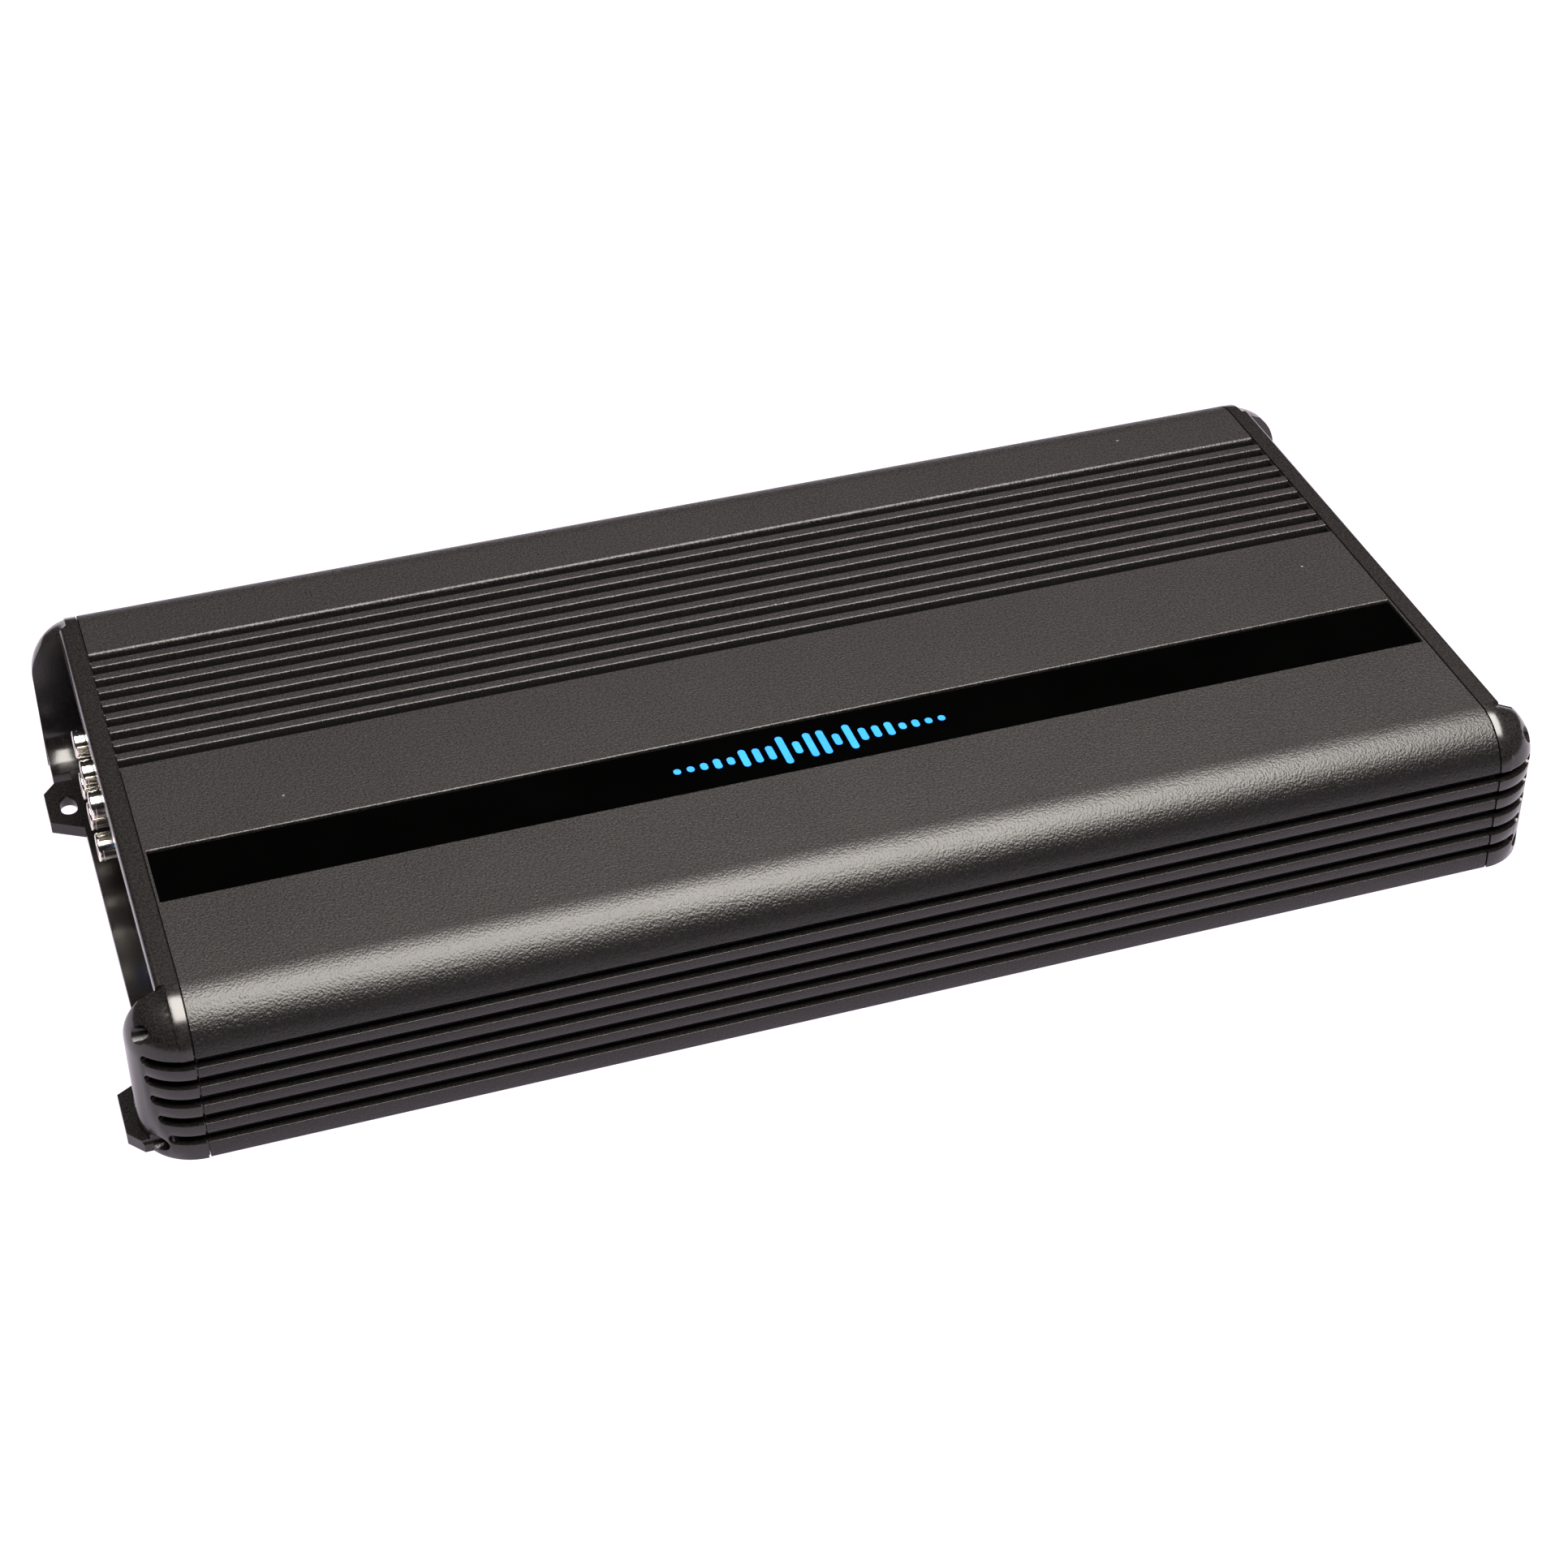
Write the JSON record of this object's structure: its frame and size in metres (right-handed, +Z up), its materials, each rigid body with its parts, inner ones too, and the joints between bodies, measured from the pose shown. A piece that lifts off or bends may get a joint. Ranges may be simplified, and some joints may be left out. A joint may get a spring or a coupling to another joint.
{
  "type": "car amplifier",
  "caption": "Car amplifier with a finned heatsink case, cast end caps with mounting tabs, RCA inputs, control knobs, power and speaker terminals and pull-out fuses.",
  "frame": {"origin": "centre of the underside", "axes": "+X along the case to the output end, +Y to the back, +Z up"},
  "size_m": [0.4092, 0.199, 0.0475],
  "materials": {
    "heatsink_coat": "satin",
    "plate_coat": "satin",
    "cap_coat": "satin",
    "panel_gloss": "gloss",
    "strip_gloss": "gloss",
    "lit_blue": "gloss",
    "red_lens": "gloss",
    "led_white": "satin",
    "board_green": "satin",
    "black_steel": "satin",
    "zinc": "satin",
    "nickel": "polished",
    "brass": "satin",
    "aluminium": "satin",
    "black_moulding": "satin",
    "white_moulding": "satin",
    "blue_moulding": "satin",
    "knob_plastic": "satin",
    "fuse_plastic": "gloss",
    "ferrite": "matte",
    "copper": "satin",
    "capacitor_sleeve": "gloss",
    "epoxy_black": "matte",
    "thermal_pad": "matte"
  },
  "bodies": {
    "amplifier": {"heatsink": "heatsink_coat", "bottom_plate": "plate_coat", "left_end_cap": "cap_coat", "right_end_cap": "cap_coat", "input_panel": "panel_gloss", "output_panel": "panel_gloss", "end_cap_screws": "black_steel", "bottom_screws": "black_steel", "display_strip": "strip_gloss", "light_guide": "lit_blue", "light_board": "board_green", "light_leds": "led_white", "main_board": "board_green", "board_screws": "zinc", "board_standoffs": "brass", "preamp_board": "board_green", "preamp_connector": "black_moulding", "rca_housing": "black_moulding", "rca_shells": "nickel", "rca_insulators": "white_moulding", "rca_contacts": "brass", "potentiometers": "blue_moulding", "switch_bodies": "zinc", "remote_port": "black_moulding", "remote_port_contacts": "brass", "power_led": "lit_blue", "protect_led": "red_lens", "power_block": "black_moulding", "power_clamps": "nickel", "power_screws": "zinc", "speaker_block": "black_moulding", "speaker_clamps": "nickel", "speaker_screws": "zinc", "fuse_holder": "black_moulding", "fuse_clips": "nickel", "transformer_core": "ferrite", "transformer_winding": "copper", "supply_choke": "copper", "input_capacitors": "capacitor_sleeve", "rail_capacitors": "capacitor_sleeve", "output_inductor_cores": "ferrite", "output_inductor_windings": "copper", "front_transistors": "epoxy_black", "back_transistors": "epoxy_black", "thermal_pads": "thermal_pad", "clamp_bars": "aluminium", "clamp_screws": "zinc", "driver_chips": "epoxy_black"},
    "front_level_knob": {"front_level_knob": "knob_plastic"},
    "rear_level_knob": {"rear_level_knob": "knob_plastic"},
    "front_crossover_knob": {"front_crossover_knob": "knob_plastic"},
    "rear_crossover_knob": {"rear_crossover_knob": "knob_plastic"},
    "bass_boost_knob": {"bass_boost_knob": "knob_plastic"},
    "front_filter_slider": {"front_filter_slider": "white_moulding"},
    "rear_filter_slider": {"rear_filter_slider": "white_moulding"},
    "input_mode_slider": {"input_mode_slider": "white_moulding"},
    "left_fuse": {"left_fuse": "fuse_plastic", "left_fuse_blades": "zinc"},
    "right_fuse": {"right_fuse": "fuse_plastic", "right_fuse_blades": "zinc"}
  },
  "joints": [
    {"name": "front_level_turn", "type": "hinge", "parent": "amplifier", "child": "front_level_knob", "pos_m": [-0.188, -0.072, 0.03], "axis": [-1, 0, 0], "range_deg": [-140, 140]},
    {"name": "rear_level_turn", "type": "hinge", "parent": "amplifier", "child": "rear_level_knob", "pos_m": [-0.188, -0.058, 0.03], "axis": [-1, 0, 0], "range_deg": [-140, 140]},
    {"name": "front_crossover_turn", "type": "hinge", "parent": "amplifier", "child": "front_crossover_knob", "pos_m": [-0.188, -0.044, 0.03], "axis": [-1, 0, 0], "range_deg": [-140, 140]},
    {"name": "rear_crossover_turn", "type": "hinge", "parent": "amplifier", "child": "rear_crossover_knob", "pos_m": [-0.188, -0.03, 0.03], "axis": [-1, 0, 0], "range_deg": [-140, 140]},
    {"name": "bass_boost_turn", "type": "hinge", "parent": "amplifier", "child": "bass_boost_knob", "pos_m": [-0.188, -0.016, 0.03], "axis": [-1, 0, 0], "range_deg": [-140, 140]},
    {"name": "front_filter_slide", "type": "slide", "parent": "amplifier", "child": "front_filter_slider", "axis": [0, 1, 0], "range_m": [-0.002, 0.002]},
    {"name": "rear_filter_slide", "type": "slide", "parent": "amplifier", "child": "rear_filter_slider", "axis": [0, 1, 0], "range_m": [-0.002, 0.002]},
    {"name": "input_mode_slide", "type": "slide", "parent": "amplifier", "child": "input_mode_slider", "axis": [0, 1, 0], "range_m": [0, 0.004]},
    {"name": "left_fuse_pull", "type": "slide", "parent": "amplifier", "child": "left_fuse", "axis": [1, 0, 0], "range_m": [0, 0.03]},
    {"name": "right_fuse_pull", "type": "slide", "parent": "amplifier", "child": "right_fuse", "axis": [1, 0, 0], "range_m": [0, 0.03]}
  ]
}
